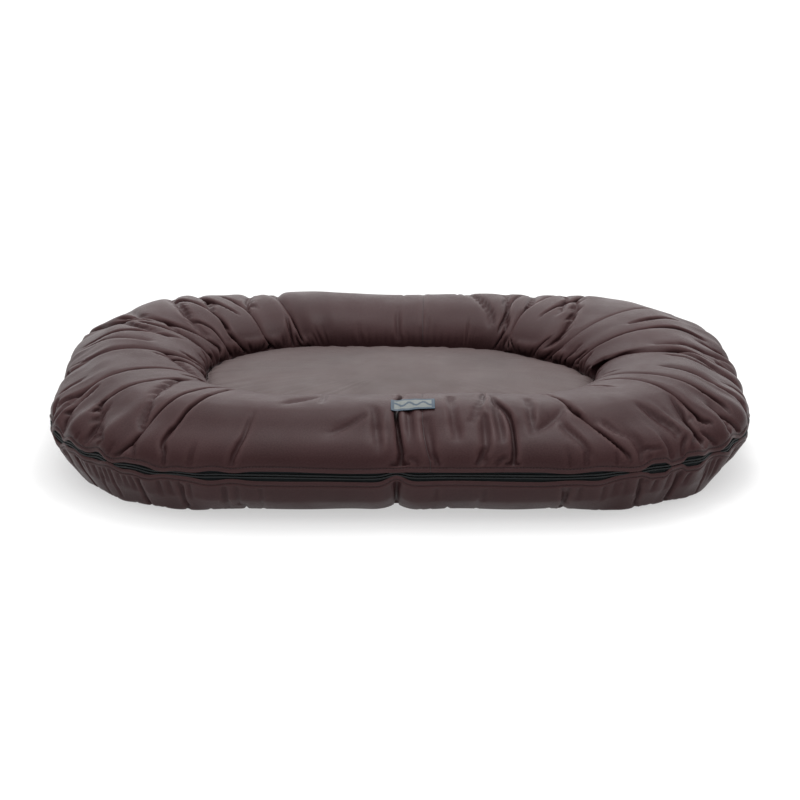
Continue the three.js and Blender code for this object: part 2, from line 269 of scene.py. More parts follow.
class Cloth:
    """A ring of cloth on a grid of rows by columns, relaxed by moving its points.

    The first and last rows are sewn down. free is the share of the rise that each row may use,
    and it is least at the hem, which is the first row unless settle turns it round.
    """

    def __init__(self, form, round_rest, across_rest):
        self.x = form.astype(np.float32)
        self.set_form(form, round_rest, across_rest)

    def set_form(self, form, round_rest, across_rest):
        """The stuffing's shape, and the lengths of the threads when the cloth lies flat."""
        self.form = form.astype(np.float32)
        self.speed = np.zeros_like(self.x)
        self.round_rest = round_rest.astype(np.float32)
        self.across_rest = across_rest.astype(np.float32)
        self.normal = grid_normals(self.form)
        self.free = np.clip(np.linspace(-0.02, 2.5, len(form)), 0, 1)[:, None]
        along = np.roll(self.form, -1, axis=1) - np.roll(self.form, 1, axis=1)
        self.step = np.linalg.norm(along, axis=2) / 2
        self.along = along / (2 * self.step[..., None] + 1e-9)

    def refine(self, form, round_rest, across_rest):
        """The same cloth on a finer grid."""
        rows, count = form.shape[:2]
        x = cubic(self.x, np.arange(count) * self.x.shape[1] / count, 1, True)
        self.x = cubic(x, np.linspace(0, self.x.shape[0] - 1, rows), 0, False)
        self.x = self.x.astype(np.float32)
        self.set_form(form, round_rest, across_rest)

    def pull(self, rows, columns, rest, stretch, squeeze):
        """Moves both ends of each thread towards its rest length."""
        near = self.x[:-rows] if rows else self.x
        far = np.roll(self.x, -columns, axis=1)[rows:] if columns else self.x[rows:]
        gap = far - near
        length = np.sqrt((gap * gap).sum(2)) + 1e-9
        wrong = (length - rest) / length
        strength = np.where(wrong > 0, stretch, squeeze) * 0.25
        move = gap * (strength * wrong)[..., None]
        if rows:
            self.x[:-rows] += move
            self.x[rows:] -= np.roll(move, columns, axis=1) if columns else move
        else:
            self.x += move - np.roll(move, columns, axis=1)

    def relax(self, steps, push, sink, rise, bend, weight=0.25, rounds=4, floor=None):
        """Lets the cloth settle. push is the move outwards at each step and weight a share of it."""
        hoop, up = self.round_rest, self.across_rest
        slant = np.sqrt(hoop[:-1] ** 2 + up**2)
        slant_back = np.roll(slant, 1, axis=1)
        hoop_pair = hoop + np.roll(hoop, -1, axis=1)
        up_pair = up[:-1] + up[1:]
        for _ in range(steps):
            before = self.x.copy()
            self.x += 0.93 * self.speed + push * grid_normals(self.x)
            self.x[..., 2] -= weight * push
            for _ in range(rounds):
                self.pull(0, 1, hoop, 1.9, 1.9)
                self.pull(1, 0, up, 1.9, 1.4)
                self.pull(1, 1, slant, 0.15, 0.15)
                self.pull(1, -1, slant_back, 0.15, 0.15)
                self.pull(0, 2, hoop_pair, 0, bend)
                self.pull(2, 0, up_pair, 0, bend)
                self.keep_order()
                self.keep_near(sink, rise)
                if floor is not None:
                    self.x[..., 2] = np.maximum(self.x[..., 2], floor)
                self.x[0] = self.form[0]
                self.x[-1] = self.form[-1]
            self.speed = self.x - before

    def keep_order(self):
        """Stops neighbouring folds from passing through each other."""
        gap = np.roll(self.x, -1, axis=1) - self.x
        room = (gap * self.along).sum(2)
        short = np.clip(0.1 * self.step - room, 0, None)[..., None] * self.along * 0.5
        self.x += np.roll(short, 1, axis=1) - short

    def keep_near(self, sink, rise):
        """The cloth can't sink far into the stuffing or lift far off it."""
        height = ((self.x - self.form) * self.normal).sum(2)
        wrong = np.clip(height, -sink, rise * self.free) - height
        self.x += self.normal * (0.6 * wrong)[..., None]


def round_places(count):
    return np.arange(count) * ROUND / count


def even_rows(dense, rows):
    """Spreads rows evenly along each column of a dense grid."""
    steps = np.linalg.norm(np.diff(dense, axis=0), axis=2)
    walked = np.concatenate([np.zeros((1, dense.shape[1])), np.cumsum(steps, 0)])
    wanted = np.linspace(0, 1, rows)
    out = np.empty((rows, dense.shape[1], 3))
    for column in range(dense.shape[1]):
        share = walked[:, column] / walked[-1, column]
        for axis in range(3):
            out[:, column, axis] = np.interp(wanted, share, dense[:, column, axis])
    return out


def rests(form, round_spare, across_spare):
    """Thread lengths: the form's own, and the spare cloth that has to fold up."""
    hoop = np.linalg.norm(np.roll(form, -1, axis=1) - form, axis=2)
    up = np.linalg.norm(np.diff(form, axis=0), axis=2)
    return hoop * (1 + round_spare), up * (1 + across_spare)


# ---------- bolster ----------

SKIN_OVER = 8 * MM  # the cloth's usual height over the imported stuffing
CREST_UNDER = 12 * MM  # how far the front's stuffing is lower than the CAD's crest
REAR_HIGHER = 10 * MM
REAR_CORNER_HIGHER = 5 * MM

# The main folds: where each begins and ends, as distance round in cm and share of the way in,
# then how deep and how wide it is in mm.
FOLDS = [
    (-36, 0.03, -41, 0.36, 9, 9), (-41, 0.36, -47, 0.65, 8, 9), (-47, 0.65, -55, 0.90, 6, 8),
    (-43, 0.04, -51, 0.27, 9, 8), (-57, 0.05, -60, 0.45, 6, 8),
    (-75, 0.04, -75, 0.50, 9, 9), (-75, 0.50, -74, 0.70, 9, 9), (-74, 0.70, -60, 0.90, 7, 9),
    (-86, 0.10, -80, 0.60, 6, 8), (-97, 0.20, -85, 0.68, 7, 8), (-103, 0.25, -89, 0.84, 7, 9),
    (-111, 0.32, -97, 0.88, 9, 9), (-117, 0.30, -106, 0.90, 8, 8),
    (-125, 0.36, -118, 0.88, 8, 8), (-129, 0.40, -130, 0.75, 7, 7), (-133, 0.30, -131, 0.50, 6, 7),
    (143, 0.38, 135, 0.82, 8, 8), (135, 0.42, 130, 0.93, 8, 8), (130, 0.36, 125, 0.90, 8, 8),
    (124, 0.30, 115, 0.70, 6, 8), (118, 0.45, 107, 0.88, 9, 9), (103, 0.35, 100, 0.94, 9, 9),
    (95, 0.15, 92, 0.60, 6, 8), (87, 0.24, 87, 0.70, 7, 8), (80, 0.10, 78, 0.55, 6, 8),
    (71, 0.10, 74, 0.70, 7, 8), (61, 0.06, 63, 0.50, 7, 8), (55, 0.30, 56, 0.80, 6, 8),
    (48, 0.72, 48, 0.47, 8, 8), (48, 0.47, 47, 0.20, 9, 8), (46, 0.20, 41, 0.02, 9, 7),
    (40, 0.05, 38, 0.35, 6, 7), (33, 0.05, 30, 0.28, 5, 7), (25, 0.04, 22, 0.30, 4, 7),
    (0, 0.02, 0, 0.24, 7, 6), (4.5, 0.02, 4, 0.31, 6, 6), (11, 0.02, 11, 0.35, 6, 6),
    (15, 0.02, 15, 0.37, 6, 6), (7.5, 0.16, 7, 0.55, 6, 6), (13, 0.14, 13, 0.50, 5, 6),
    (18, 0.20, 19, 0.52, 5, 6), (-3, 0.10, -4, 0.42, 5, 6), (2, 0.12, 2, 0.45, 4, 5),
    (-11, 0.50, -11, 0.75, 4, 5), (9.5, 0.30, 12, 0.66, 5, 6),
    (-37, 0.02, -38, 0.24, 11, 20), (-45, 0.02, -48, 0.20, 11, 20), (-54, 0.02, -57, 0.22, 9, 18),
    (1, 0.02, 0, 0.22, 6, 15), (14, 0.02, 16, 0.30, 5, 15), (24, 0.42, 19, 0.24, 7, 12),
    (24, 0.42, 28, 0.30, 6, 12), (43, 0.02, 45, 0.26, 11, 20), (51, 0.02, 53, 0.20, 10, 18),
    (33, 0.02, 32, 0.18, 7, 16), (-12, 0.62, -17, 0.50, 5, 10), (-5, 0.36, -9, 0.22, 5, 12),
]


def fold_depth(s, t):
    """How deep the chosen folds press into the stuffing."""
    depth = np.zeros((len(t), len(s)))
    wide = t[:, None] * SKIN_WIDE
    for from_s, from_t, to_s, to_t, deep, width in FOLDS:
        a = np.array([from_s * CM, from_t * SKIN_WIDE])
        b = np.array([to_s * CM, to_t * SKIN_WIDE])
        along = b - a
        rel_s = signed(s[None] - a[0])
        rel_t = wide - a[1]
        share = np.clip((rel_s * along[0] + rel_t * along[1]) / (along @ along), 0, 1)
        off = np.hypot(rel_s - share * along[0], rel_t - share * along[1])
        fade = 0.35 + 0.65 * np.sin(np.pi * np.clip(0.1 + 0.8 * share, 0, 1))
        valley = np.exp(-1.5 * off / (width * MM)) * 1.15
        depth = np.maximum(depth, deep * MM * fade * valley)
    return depth


def bolster_form(rows, count):
    """The stuffing's surface under the upper cover."""
    s = round_places(count)
    outer = zip_ring(s, 0.3 * MM, HEM_H, edge=1)
    inner = mat_ring(s, MAT_TOP - 3 * MM)
    rear = rise_step(outer[:, 1], -0.6 * HALF_W, 0.6 * HALF_W)
    u, quadrant = outer_plan.fold(s)
    rear_corner = (quadrant % 3 > 0) * bump(u, CORNER_MIDDLE, 200 * MM)
    crest = CREST - CREST_UNDER + REAR_HIGHER * rear + REAR_CORNER_HIGHER * rear_corner
    crest = crest + 3 * MM * wander(s, 330 * MM, 11)
    angle = np.linspace(0, math.pi, 181)[:, None]
    lean = 0.5 - 0.5 * np.cos(angle)
    start = np.where(angle < math.pi / 2, outer[:, 2], inner[:, 2])
    high = start + (crest - start) * np.sin(angle)
    plan = outer[None, :, :2] + lean[..., None] * (inner - outer)[None, :, :2]
    form = even_rows(np.concatenate([plan, high[..., None]], -1), rows)
    t = np.linspace(0, 1, rows)
    inside = (rise_step(t, 0, 0.3) ** 0.7 * rise_step(1 - t, 0, 0.08))[:, None]
    pressed = (rise_step(t, 0, 0.05) * rise_step(1 - t, 0, 0.08))[:, None]
    side = 5 * MM * bump(t, 0.2, 0.17)[:, None]
    sunk = (SKIN_OVER + side) * inside + fold_depth(s, t) * pressed
    return form - grid_normals(form) * sunk[..., None]


def bolster_rests(form):
    rows, count = form.shape[:2]
    s = round_places(count)
    t = np.linspace(0, 1, rows)[:, None]
    u, _ = outer_plan.fold(s)
    corner = rise_step(u, 90 * MM, 330 * MM)
    gather = bump(signed(s), 70 * MM, 95 * MM)
    round_spare = 0.04 + 0.03 * t + corner * (0.07 + 0.38 * t**1.5) + 0.16 * gather
    across_spare = 0.028 + 0.02 * corner + 0.07 * gather
    return rests(form, round_spare, across_spare[None])


def crumple(form, seed, size):
    """Small starting folds, so that the spare cloth knows where to go."""
    rows, count = form.shape[:2]
    s = round_places(count)
    corner = 0.3 + 0.7 * corner_share(s, 200 * MM)
    t = np.linspace(0, 1, rows)[:, None]
    folds = wander(s, 66 * MM, seed) * (0.3 + 0.7 * t)
    folds = folds + 0.5 * wander(s, 34 * MM, seed + 1) * t
    gather = bump(signed(s), 80 * MM, 80 * MM)
    folds = folds + 1.6 * gather * wander(s, 31 * MM, seed + 2) * bump(t, 0.3, 0.25)
    fade = np.sin(np.pi * t) ** 0.5
    return form + grid_normals(form) * (folds * fade * size * corner)[..., None]


def settle(form_of, rests_of, grids, passes, seed, size, floor=None):
    """Relaxes a ring of cloth on finer and finer grids."""
    cloth = None
    for (rows, count), (steps, push, sink, rise, bend) in zip(grids, passes):
        form = form_of(rows, count)
        if cloth is None:
            cloth = Cloth(form, *rests_of(form))
            cloth.x = crumple(form, seed, size).astype(np.float32)
        else:
            cloth.refine(form, *rests_of(form))
        if floor is not None:  # the lower cover, whose hem is its last row
            cloth.free = cloth.free[::-1]
        cloth.relax(steps, push * MM, sink * MM, rise * MM, bend, floor=floor)
    return cloth.x


BOLSTER_GRIDS = [(34, 392), (68, 784)]
BOLSTER_PASSES = [(150, 0.16, 7, 9, 0.10), (90, 0.05, 9, 11, 0.06)]


# ---------- lower cover ----------


def lower_form(rows, count):
    """The lower cover's stuffing from the floor up to the hem."""
    s = round_places(count)
    outer = zip_ring(s, 0.3 * MM, -HEM_H, edge=-1)
    u, quadrant = outer_plan.fold(s)
    points, normals = outer_plan.at(u, quadrant)
    notch = 16 * MM * bump(signed(s), PINCH_AT, 16 * MM)
    inset = FLOOR_INSET - 10 * MM * corner_share(s) + notch + 3 * MM * wander(s, 170 * MM, 31)
    inner = points - normals * inset[..., None]
    share = np.linspace(0, 1, 41)[:, None]
    plan = outer[None, :, :2] + share[..., None] * (inner - outer[:, :2])[None]
    belly = (4 - 5 * corner_share(s)) * MM * np.sin(np.pi * share)
    high = outer[None, :, 2] * (1 - share) + FLOOR_GAP - belly * 0.6
    plan = plan + normals[None] * (belly * 0.8)[..., None]
    dense = np.concatenate([plan, np.maximum(high, FLOOR_GAP)[..., None]], -1)
    return even_rows(dense[::-1], rows)


def lower_rests(form):
    rows, count = form.shape[:2]
    s = round_places(count)
    t = np.linspace(0, 1, rows)[:, None]
    corner = corner_share(s, 120 * MM)
    pinch = bump(signed(s), PINCH_AT + 10 * MM, 40 * MM)
    round_spare = 0.02 + corner * (0.05 + 0.11 * t) + 0.14 * pinch
    return rests(form, round_spare, np.full((1, count), 0.02))


LOWER_GRIDS = [(12, 392), (24, 784)]
LOWER_PASSES = [(90, 0.06, 6, 4, 0.06), (50, 0.03, 7, 5, 0.03)]


# ---------- meshes ----------


def new_piece(name, points, faces, look, places=None, body="bed", slot=None):
    """A smooth mesh piece. places says where each point is on the flat cloth, in metres."""
    mesh = bpy.data.meshes.new(name)
    points = np.asarray(points, float).reshape(-1, 3)
    mesh.from_pydata(points.tolist(), [], [list(f) for f in faces])
    piece = bpy.data.objects.new(name, mesh)
    bpy.context.scene.collection.objects.link(piece)
    for one in look if isinstance(look, list) else [look]:
        mesh.materials.append(one)
    mesh.polygons.foreach_set("use_smooth", [True] * len(mesh.polygons))
    if places is not None:
        flat = mesh.attributes.new("cloth", "FLOAT_VECTOR", "POINT")
        flat.data.foreach_set("vector", np.asarray(places, np.float32).ravel())
    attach(piece, body)
    return piece


def grid_faces(rows, count, first=0, last=None, closed=True):
    """Quads between neighbouring rows and columns, facing the way grid_normals points."""
    last = count if last is None else last
    row, column = np.meshgrid(np.arange(rows - 1), np.arange(first, last), indexing="ij")
    after = (column + 1) % count if closed else column + 1
    a = row * count + column
    b = row * count + after
    return np.stack([a, b, b + count, a + count], -1).reshape(-1, 4)


def bar_faces(length, sides):
    """The faces of a closed bar on a grid of length by sides, facing outwards."""
    faces = grid_faces(length, sides)[:, ::-1].tolist()
    faces.append(list(range(sides)))
    faces.append([(length - 1) * sides + k for k in range(sides)][::-1])
    return faces


def ring_piece(name, rows, look, **kind):
    """A closed ring from a list of rows, the last of which joins the first."""
    grid = np.stack(list(rows) + [rows[0]])
    count = grid.shape[1]
    faces = grid_faces(len(rows), count)
    last = grid_faces(2, count)
    wrap = np.where(last >= count, last - count, last + (len(rows) - 1) * count)
    faces = np.concatenate([faces, wrap])
    s = round_places(count)
    flat = np.zeros((len(rows), count, 3))
    flat[..., 0] = s
    flat[..., 1] = np.arange(len(rows))[:, None] * MM
    return new_piece(name, grid[:-1], faces, look, flat.reshape(-1, 3), **kind)


def thicken(piece, thickness):
    """Gives a sheet its thickness, inwards."""
    shell = piece.modifiers.new("thickness", "SOLIDIFY")
    shell.thickness = thickness
    shell.offset = -1
    shell.use_rim = True


def place_grid(grid, start):
    """Flat places of a grid's points: distance round, and distance in from the hem."""
    steps = np.linalg.norm(np.diff(grid, axis=0), axis=2).mean(1)
    walked = np.concatenate([[0], np.cumsum(steps)])
    count = grid.shape[1]
    flat = np.zeros(grid.shape)
    flat[..., 0] = (round_places(count) - start) % ROUND
    flat[..., 1] = walked[:, None]
    return flat


def columns_piece(name, grid, flat, first, last, look, stands_for):
    """The part of a ring between two columns, as a piece of its own."""
    count = grid.shape[1]
    take = np.arange(first, last + 1) % count
    part, places = grid[:, take], flat[:, take].copy()
    places[:, -1, 0] = np.where(
        places[:, -1, 0] < places[:, -2, 0], places[:, -2, 0] + ROUND / count, places[:, -1, 0]
    )
    faces = grid_faces(grid.shape[0], len(take), 0, len(take) - 1, closed=False)
    piece = new_piece(name, part, faces, look, places.reshape(-1, 3), slot="cover_cloth")
    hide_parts(stands_for)
    return piece


def hem_rows(s, edge):
    """The folded hem: its hidden back, its rounded edge and its stitched face."""
    profile = [(2.0, 8.0), (1.8, 3.0), (1.0, 0.3), (0.0, 0.0), (-0.8, 0.8), (-1.3, 2.4),
               (-1.2, 4.2), (-0.4, 5.3), (0.9, 6.1), (0.2, 7.3)]
    return [zip_ring(s, inset * MM, edge * z * MM, edge=edge) for inset, z in profile]


# ---------- materials ----------


class Look:
    """A node material built up in steps. Every number that is the same all over is set on the shader."""

    def __init__(self, name, colour, **shader):
        self.material = bpy.data.materials.new(name)
        self.material.use_nodes = True
        self.tree = self.material.node_tree
        self.shader = self.tree.nodes["Principled BSDF"]
        self.colour = colour
        self.shader.inputs["Base Color"].default_value = (*colour, 1)
        for key, value in shader.items():
            self.shader.inputs[key.replace("_", " ")].default_value = value

    def node(self, kind, **settings):
        made = self.tree.nodes.new("ShaderNode" + kind)
        for key, value in settings.items():
            if key in made.bl_rna.properties:
                setattr(made, key, value)
            else:
                made.inputs[key.replace("_", " ")].default_value = value
        return made

    def link(self, source, target):
        self.tree.links.new(source, target)

    def object_place(self):
        return self.node("TexCoord").outputs["Object"]

    def cloth_place(self):
        return self.node("Attribute", attribute_name="cloth").outputs["Vector"]

    def maths(self, operation, a, b):
        made = self.node("Math", operation=operation)
        for socket, value in zip(made.inputs, (a, b)):
            if isinstance(value, (int, float)):
                socket.default_value = value
            else:
                self.link(value, socket)
        return made.outputs[0]

    def noise(self, place, scale, detail=3.0, roughness=0.55):
        made = self.node("TexNoise", Scale=scale, Detail=detail, Roughness=roughness)
        self.link(place, made.inputs["Vector"])
        return made.outputs["Fac"]

    def spread(self, value, low, high, to_low, to_high):
        made = self.node("MapRange")
        for key, number in zip(
            ("From Min", "From Max", "To Min", "To Max"), (low, high, to_low, to_high)
        ):
            made.inputs[key].default_value = number
        self.link(value, made.inputs["Value"])
        return made.outputs["Result"]

    def blend(self, share, a, b):
        made = self.node("Mix", data_type="RGBA")
        self.link(share, made.inputs["Factor"])
        colours = [s for s in made.inputs if s.type == "RGBA"]
        for socket, value in zip(colours, (a, b)):
            if isinstance(value, tuple):
                socket.default_value = (*value, 1)
            else:
                self.link(value, socket)
        return [o for o in made.outputs if o.type == "RGBA"][0]

    def bump(self, height, strength, distance, before=None):
        made = self.node("Bump", Strength=strength, Distance=distance)
        self.link(height, made.inputs["Height"])
        if before is not None:
            self.link(before, made.inputs["Normal"])
        return made.outputs["Normal"]

    def weave(self, place, pitch):
        """Threads over and under each other, both ways, 0 low to 1 high."""
        parts = self.node("SeparateXYZ")
        self.link(place, parts.inputs[0])
        turns = 2 * math.pi / pitch
        waves = []
        for output in (parts.outputs["X"], parts.outputs["Y"]):
            waves.append(self.maths("SINE", self.maths("MULTIPLY", output, turns), 0))
        product = self.maths("MULTIPLY", waves[0], waves[1])
        return self.spread(product, -1, 1, 0, 1)

    def finish(self, colour=None, normal=None, roughness=None):
        for key, output in (("Base Color", colour), ("Normal", normal), ("Roughness", roughness)):
            if output is not None:
                self.link(output, self.shader.inputs[key])
        return self.material


def cloth_look(name, colour, worn, pitch, **shader):
    """Woven polyester, dusty in places and lighter along its ridges: partly wear from rubbing, partly a
    painted highlight where the ridges catch the light.
    """
    look = Look(name, colour, **shader)
    place, flat = look.object_place(), look.cloth_place()
    dark = tuple(0.72 * c for c in colour)
    shade = look.blend(look.spread(look.noise(place, 9), 0.3, 0.7, 0, 1), dark, colour)
    # Lighter on convex ridges: partly wear from rubbing, partly a painted highlight where the ridges
    # catch the light.
    ridge = look.node("NewGeometry").outputs["Pointiness"]
    ridge_wear_and_highlight = look.spread(ridge, 0.50, 0.56, 0, 0.55)
    shade = look.blend(ridge_wear_and_highlight, shade, worn)
    grain = look.spread(look.noise(flat, 420, detail=4, roughness=0.75), 0.35, 0.68, 0, 0.4)
    shade = look.blend(grain, shade, worn)
    threads = look.weave(flat, pitch)
    shade = look.blend(look.spread(threads, 0, 1, 0.20, 0), shade, dark)
    slub = look.noise(flat, 900, detail=2)
    normal = look.bump(threads, 0.22, 0.15 * MM)
    normal = look.bump(slub, 0.45, 0.2 * MM, normal)
    crease = look.noise(place, 55, detail=4, roughness=0.6)
    normal = look.bump(crease, 0.22, 1.2 * MM, normal)
    base = look.shader.inputs["Roughness"].default_value
    rough = look.spread(look.noise(place, 22), 0.3, 0.7, base - 0.05, base + 0.07)
    return look.finish(shade, normal, rough)


def thread_look(name, colour):
    look = Look(name, colour, Roughness=0.6)
    place = look.object_place()
    shade = look.blend(look.noise(place, 300), colour, tuple(1.5 * c for c in colour))
    return look.finish(shade, look.bump(look.noise(place, 2500), 0.3, 0.1 * MM))


def tape_look(name, colour):
    """Ribbed zip tape."""
    look = Look(name, colour, Roughness=0.8, Specular_IOR_Level=0.2)
    flat = look.cloth_place()
    ribs = look.weave(flat, 0.9 * MM)
    shade = look.blend(ribs, tuple(0.6 * c for c in colour), tuple(1.5 * c for c in colour))
    return look.finish(shade, look.bump(ribs, 0.5, 0.2 * MM))


def nylon_look(name, colour):
    look = Look(name, colour, Roughness=0.5, Specular_IOR_Level=0.3)
    place = look.object_place()
    rough = look.spread(look.noise(place, 400), 0.3, 0.7, 0.45, 0.6)
    return look.finish(None, look.bump(look.noise(place, 900), 0.1, 0.05 * MM), rough)


def metal_look(name, colour):
    """Dark nickel plate, brighter where hands have worn its edges."""
    look = Look(name, colour, Roughness=0.32, Metallic=0.9)
    place = look.object_place()
    ridge = look.node("NewGeometry").outputs["Pointiness"]
    worn = look.spread(ridge, 0.52, 0.62, 0, 0.7)
    shade = look.blend(look.noise(place, 700), colour, tuple(1.3 * c for c in colour))
    shade = look.blend(worn, shade, (0.42, 0.42, 0.4))
    rough = look.spread(look.noise(place, 500), 0.3, 0.7, 0.25, 0.42)
    return look.finish(shade, look.bump(look.noise(place, 1500), 0.08, 0.05 * MM), rough)


def fibre_look(name, colour, scale):
    look = Look(name, colour, Roughness=0.9, Sheen_Weight=0.3)
    place = look.object_place()
    felt = look.noise(place, scale, detail=6, roughness=0.7)
    shade = look.blend(felt, tuple(0.85 * c for c in colour), colour)
    return look.finish(shade, look.bump(felt, 0.5, 0.5 * MM))


# The second colour serves the random dust and wear, and also the ridges' painted highlight.
cover_cloth = cloth_look(
    "cover_cloth", (0.037, 0.0150, 0.0162), (0.080, 0.042, 0.042), 0.62 * MM,
    Roughness=0.40, Specular_IOR_Level=0.09, Sheen_Weight=0.02, Sheen_Roughness=0.4,
)
# The mat is the cover's cloth painted lighter: painted light on the flat mat, which faces up into the
# overhead light.
mat_cloth = cloth_look(
    "mat_cloth", (0.069, 0.045, 0.044), (0.092, 0.066, 0.064), 0.62 * MM,
    Roughness=0.55, Specular_IOR_Level=0.2, Sheen_Weight=0.04, Sheen_Roughness=0.5,
)
cover_thread = thread_look("cover_thread", (0.022, 0.012, 0.013))
zip_tape = tape_look("zip_tape", (0.008, 0.011, 0.012))
zip_coil = nylon_look("zip_coil", (0.006, 0.008, 0.009))
zip_metal = metal_look("zip_metal", (0.10, 0.105, 0.11))
liner_cloth = fibre_look("liner_cloth", (0.78, 0.77, 0.72), 900)
fibre_fill = fibre_look("fibre_fill", (0.88, 0.87, 0.84), 260)
label_blue = cloth_look(
    "label_blue", (0.010, 0.030, 0.055), (0.022, 0.056, 0.09), 0.7 * MM, Roughness=0.6,
)
label_pale = cloth_look(
    "label_pale", (0.12, 0.135, 0.13), (0.20, 0.215, 0.205), 0.7 * MM, Roughness=0.6,
)


# ---------- making the bed ----------


def seam_columns(count):
    """The columns nearest to the panel seams, at the front and at the rear."""
    front = round(SEAM_X / ROUND * count)
    rear = round((ROUND / 2 - SEAM_X) / ROUND * count)
    return front, rear


def press_seam(grid):
    """The flat-felled seam between the two panels: a low ridge beside a groove."""
    count = grid.shape[1]
    normal = grid_normals(grid)
    places = round_places(count)
    for column in seam_columns(count):
        off = places - places[column % count]
        groove = bump(off, 0, 3.2 * MM) * 1.3 * MM - bump(off, -6 * MM, 4 * MM) * 0.7 * MM
        grid = grid - normal * groove[None, :, None]
    return grid


def make_bolster():
    """The upper cover: the settled cloth, its hem, and the edge turned down at the mat."""
    cloth = settle(
        bolster_form, bolster_rests, BOLSTER_GRIDS, BOLSTER_PASSES, 21, 5 * MM
    )
    cloth = press_seam(cloth)
    count = cloth.shape[1]
    s = round_places(count)
    hem = np.stack(hem_rows(s, 1))
    tuck = mat_ring(s, MAT_TOP - SEAM_DEEP)
    grid = np.concatenate([hem, cloth, tuck[None]])
    front, rear = seam_columns(count)
    flat = place_grid(grid, SEAM_X)
    columns_piece("cover_right", grid, flat, front, rear, cover_cloth, "bolster_cover_right")
    columns_piece("cover_left", grid, flat, rear, front + count, cover_cloth, "bolster_cover_left")
    return cloth, grid


def make_panel_seams(grid):
    """Sewing thread along each panel seam."""
    normal = grid_normals(grid)
    for side, column in zip(("front", "rear"), seam_columns(grid.shape[1])):
        column = column % grid.shape[1]
        line = grid[3:, column] + normal[3:, column] * 0.1 * MM
        piece = tube(side + "_seam_stitching", line, 0.45 * MM, cover_thread)
        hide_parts(side + "_panel_seam")


def tube(name, line, radius, look, sides=6):
    """A closed round tube along a line of points."""
    line = np.asarray(line, float)
    tangent = np.gradient(line, axis=0)
    tangent /= np.linalg.norm(tangent, axis=1)[:, None]
    side = np.cross(tangent, [1.0, 0.3, 0.2])
    side /= np.linalg.norm(side, axis=1)[:, None]
    up = np.cross(tangent, side)
    angles = np.arange(sides) * 2 * math.pi / sides
    rings = [line + radius * (math.cos(a) * side + math.sin(a) * up) for a in angles]
    return new_piece(name, np.stack(rings, 1), bar_faces(len(line), sides), look)


def make_lower_cover():
    """The lower cover: hem, settled side, and the flat bottom that the bed stands on."""
    cloth = settle(
        lower_form, lower_rests, LOWER_GRIDS, LOWER_PASSES, 41, 3 * MM, floor=FLOOR_GAP
    )
    count = cloth.shape[1]
    s = round_places(count)
    hem = np.stack(hem_rows(s, -1)[::-1])
    shares = np.array([0.04, 0.25, 0.5, 0.75, 0.93, 0.985])[:, None, None]
    bottom = cloth[0] * np.array([1.0, 1.0, 0.0]) * shares
    grid = np.concatenate([bottom, cloth, hem])
    faces = grid_faces(grid.shape[0], count).tolist()
    faces.append(list(range(count))[::-1])
    piece = new_piece(
        "lower_cover", grid, faces, cover_cloth, place_grid(grid, 0).reshape(-1, 3),
        slot="cover_cloth",
    )
    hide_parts("base_cover")


MAT_CROWN = 12 * MM


def make_mat(count):
    """The mat's top cloth: taut, crowned, and drawn a little into its seam."""
    s = round_places(count)
    edge = mat_ring(s, MAT_TOP - SEAM_DEEP)
    shares = np.concatenate([[0, 0.0, 0.004, 0.01, 0.02], np.linspace(0.035, 0.97, 44) ** 1.25])
    rows = []
    for index, share in enumerate(shares):
        row = edge.copy()
        row[:, :2] *= 1 - share
        from_seam = np.linalg.norm(edge[:, :2], axis=1) * share
        rise = 9 * MM * (1 - np.exp(-from_seam / (11 * MM)))
        crown = MAT_CROWN * (1 - (1 - share) ** 2)
        pucker = 0.9 * MM * wander(s, 24 * MM, 51) * np.exp(-from_seam / (20 * MM))
        pucker = pucker + 0.8 * MM * wander(s, 60 * MM, 52) * np.exp(-from_seam / (55 * MM))
        wave = 1.2 * MM * np.sin(row[:, 0] * 21 + 1.5) * np.sin(row[:, 1] * 17 + 0.6)
        row[:, 2] += rise + crown + (pucker + wave) * rise_step(from_seam, 0, 6 * MM)
        if index == 0:
            row[:, 2] -= 6 * MM
        rows.append(row)
    grid = np.stack(rows)
    faces = grid_faces(len(rows), count).tolist()
    faces.append([(len(rows) - 1) * count + k for k in range(count)])
    flat = grid * np.array([1, 1, 0])
    piece = new_piece(
        "mat_top", grid, faces, mat_cloth, flat.reshape(-1, 3), slot="mat_cloth"
    )
    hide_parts("mat_panel")


def make_mat_seam(count):
    """The sewing hidden at the bottom of the mat's seam."""
    s = round_places(count)
    around = [(-0.6, -6.6), (-0.6, -5.4), (0.6, -5.4), (0.6, -6.6)]
    rows = []
    for inward, z in around:
        row = mat_ring(s, MAT_TOP + z * MM)
        row[:, :2] *= 1 - inward * MM / np.linalg.norm(row[:, :2], axis=1)[:, None]
        rows.append(row)
    piece = ring_piece("mat_stitching", rows, cover_thread, slot="cover_thread")
    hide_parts("mat_seam_thread")


STITCH_PITCH = 4.3 * MM
STITCH_LONG = 3.0 * MM


